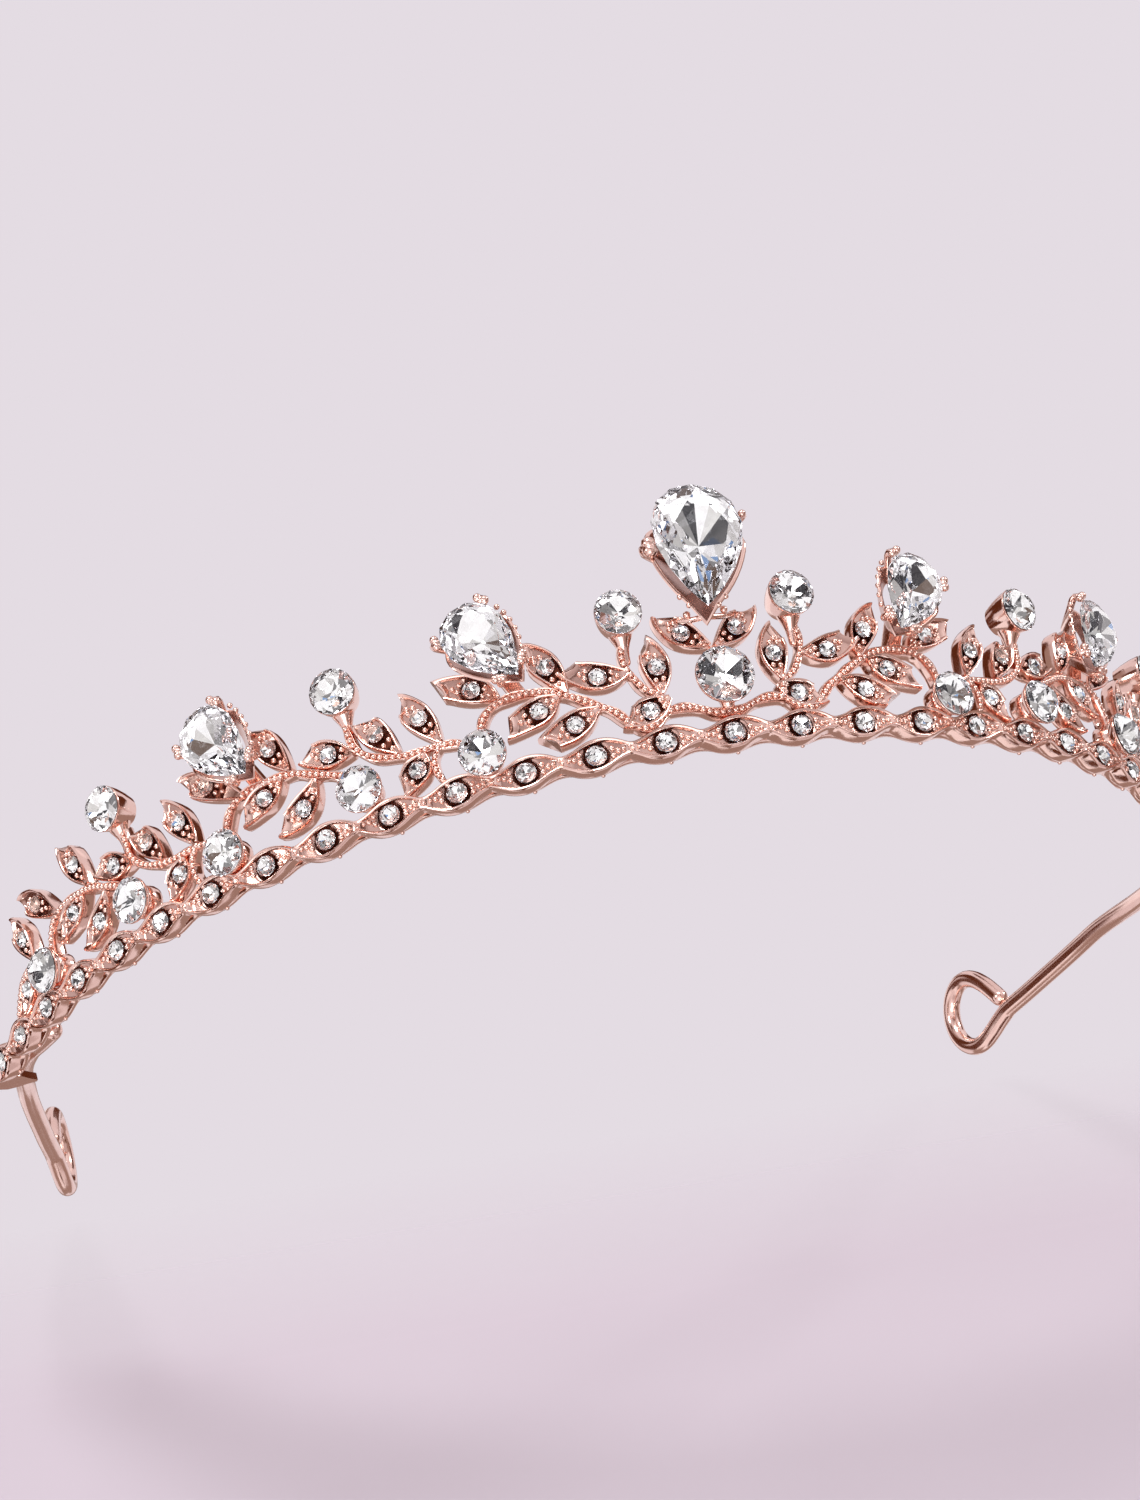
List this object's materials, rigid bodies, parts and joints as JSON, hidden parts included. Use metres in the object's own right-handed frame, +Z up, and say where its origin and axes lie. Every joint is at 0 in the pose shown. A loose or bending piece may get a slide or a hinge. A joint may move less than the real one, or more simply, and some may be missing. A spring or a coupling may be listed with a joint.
{
  "type": "bridal tiara",
  "caption": "Bridal tiara: a bent openwork casting of marquise links, vines and leaves, set with pear and round crystals, on side wires that end in hairpin eyes.",
  "frame": {"origin": "middle of the bounding box, on the plane of the links' flat lower edges", "axes": "+Z up, from the row of links toward the stones' tips; -Y is the front, which the large pear stone faces; +X is toward the viewer's right, which is the wearer's left"},
  "size_m": [0.1546, 0.1304, 0.0299],
  "materials": {
    "rose_gold_plating": "bright rose-gold plating over a cast white-metal alloy, and over brass wire",
    "crystal": "clear faceted crystal with a foil back"
  },
  "bodies": {
    "root": {"front_casting": "rose_gold_plating", "side_wire_left": "rose_gold_plating", "side_wire_right": "rose_gold_plating", "pear_setting_centre": "rose_gold_plating", "big_round_cup": "rose_gold_plating", "pear_setting_left_1": "rose_gold_plating", "pear_setting_left_2": "rose_gold_plating", "stem_cup_left_1": "rose_gold_plating", "stem_cup_left_2": "rose_gold_plating", "stem_cup_left_3": "rose_gold_plating", "low_cup_left_1": "rose_gold_plating", "low_cup_left_2": "rose_gold_plating", "low_cup_left_3": "rose_gold_plating", "low_cup_left_4": "rose_gold_plating", "low_cup_left_5": "rose_gold_plating", "pear_setting_right_1": "rose_gold_plating", "pear_setting_right_2": "rose_gold_plating", "stem_cup_right_1": "rose_gold_plating", "stem_cup_right_2": "rose_gold_plating", "stem_cup_right_3": "rose_gold_plating", "low_cup_right_1": "rose_gold_plating", "low_cup_right_2": "rose_gold_plating", "low_cup_right_3": "rose_gold_plating", "low_cup_right_4": "rose_gold_plating", "low_cup_right_5": "rose_gold_plating", "pear_stone_centre": "crystal", "big_round_stone": "crystal", "pear_stone_left_1": "crystal", "pear_stone_left_2": "crystal", "stem_stone_left_1": "crystal", "stem_stone_left_2": "crystal", "stem_stone_left_3": "crystal", "low_stone_left_1": "crystal", "low_stone_left_2": "crystal", "low_stone_left_3": "crystal", "low_stone_left_4": "crystal", "low_stone_left_5": "crystal", "pear_stone_right_1": "crystal", "pear_stone_right_2": "crystal", "stem_stone_right_1": "crystal", "stem_stone_right_2": "crystal", "stem_stone_right_3": "crystal", "low_stone_right_1": "crystal", "low_stone_right_2": "crystal", "low_stone_right_3": "crystal", "low_stone_right_4": "crystal", "low_stone_right_5": "crystal"}
  },
  "joints": []
}
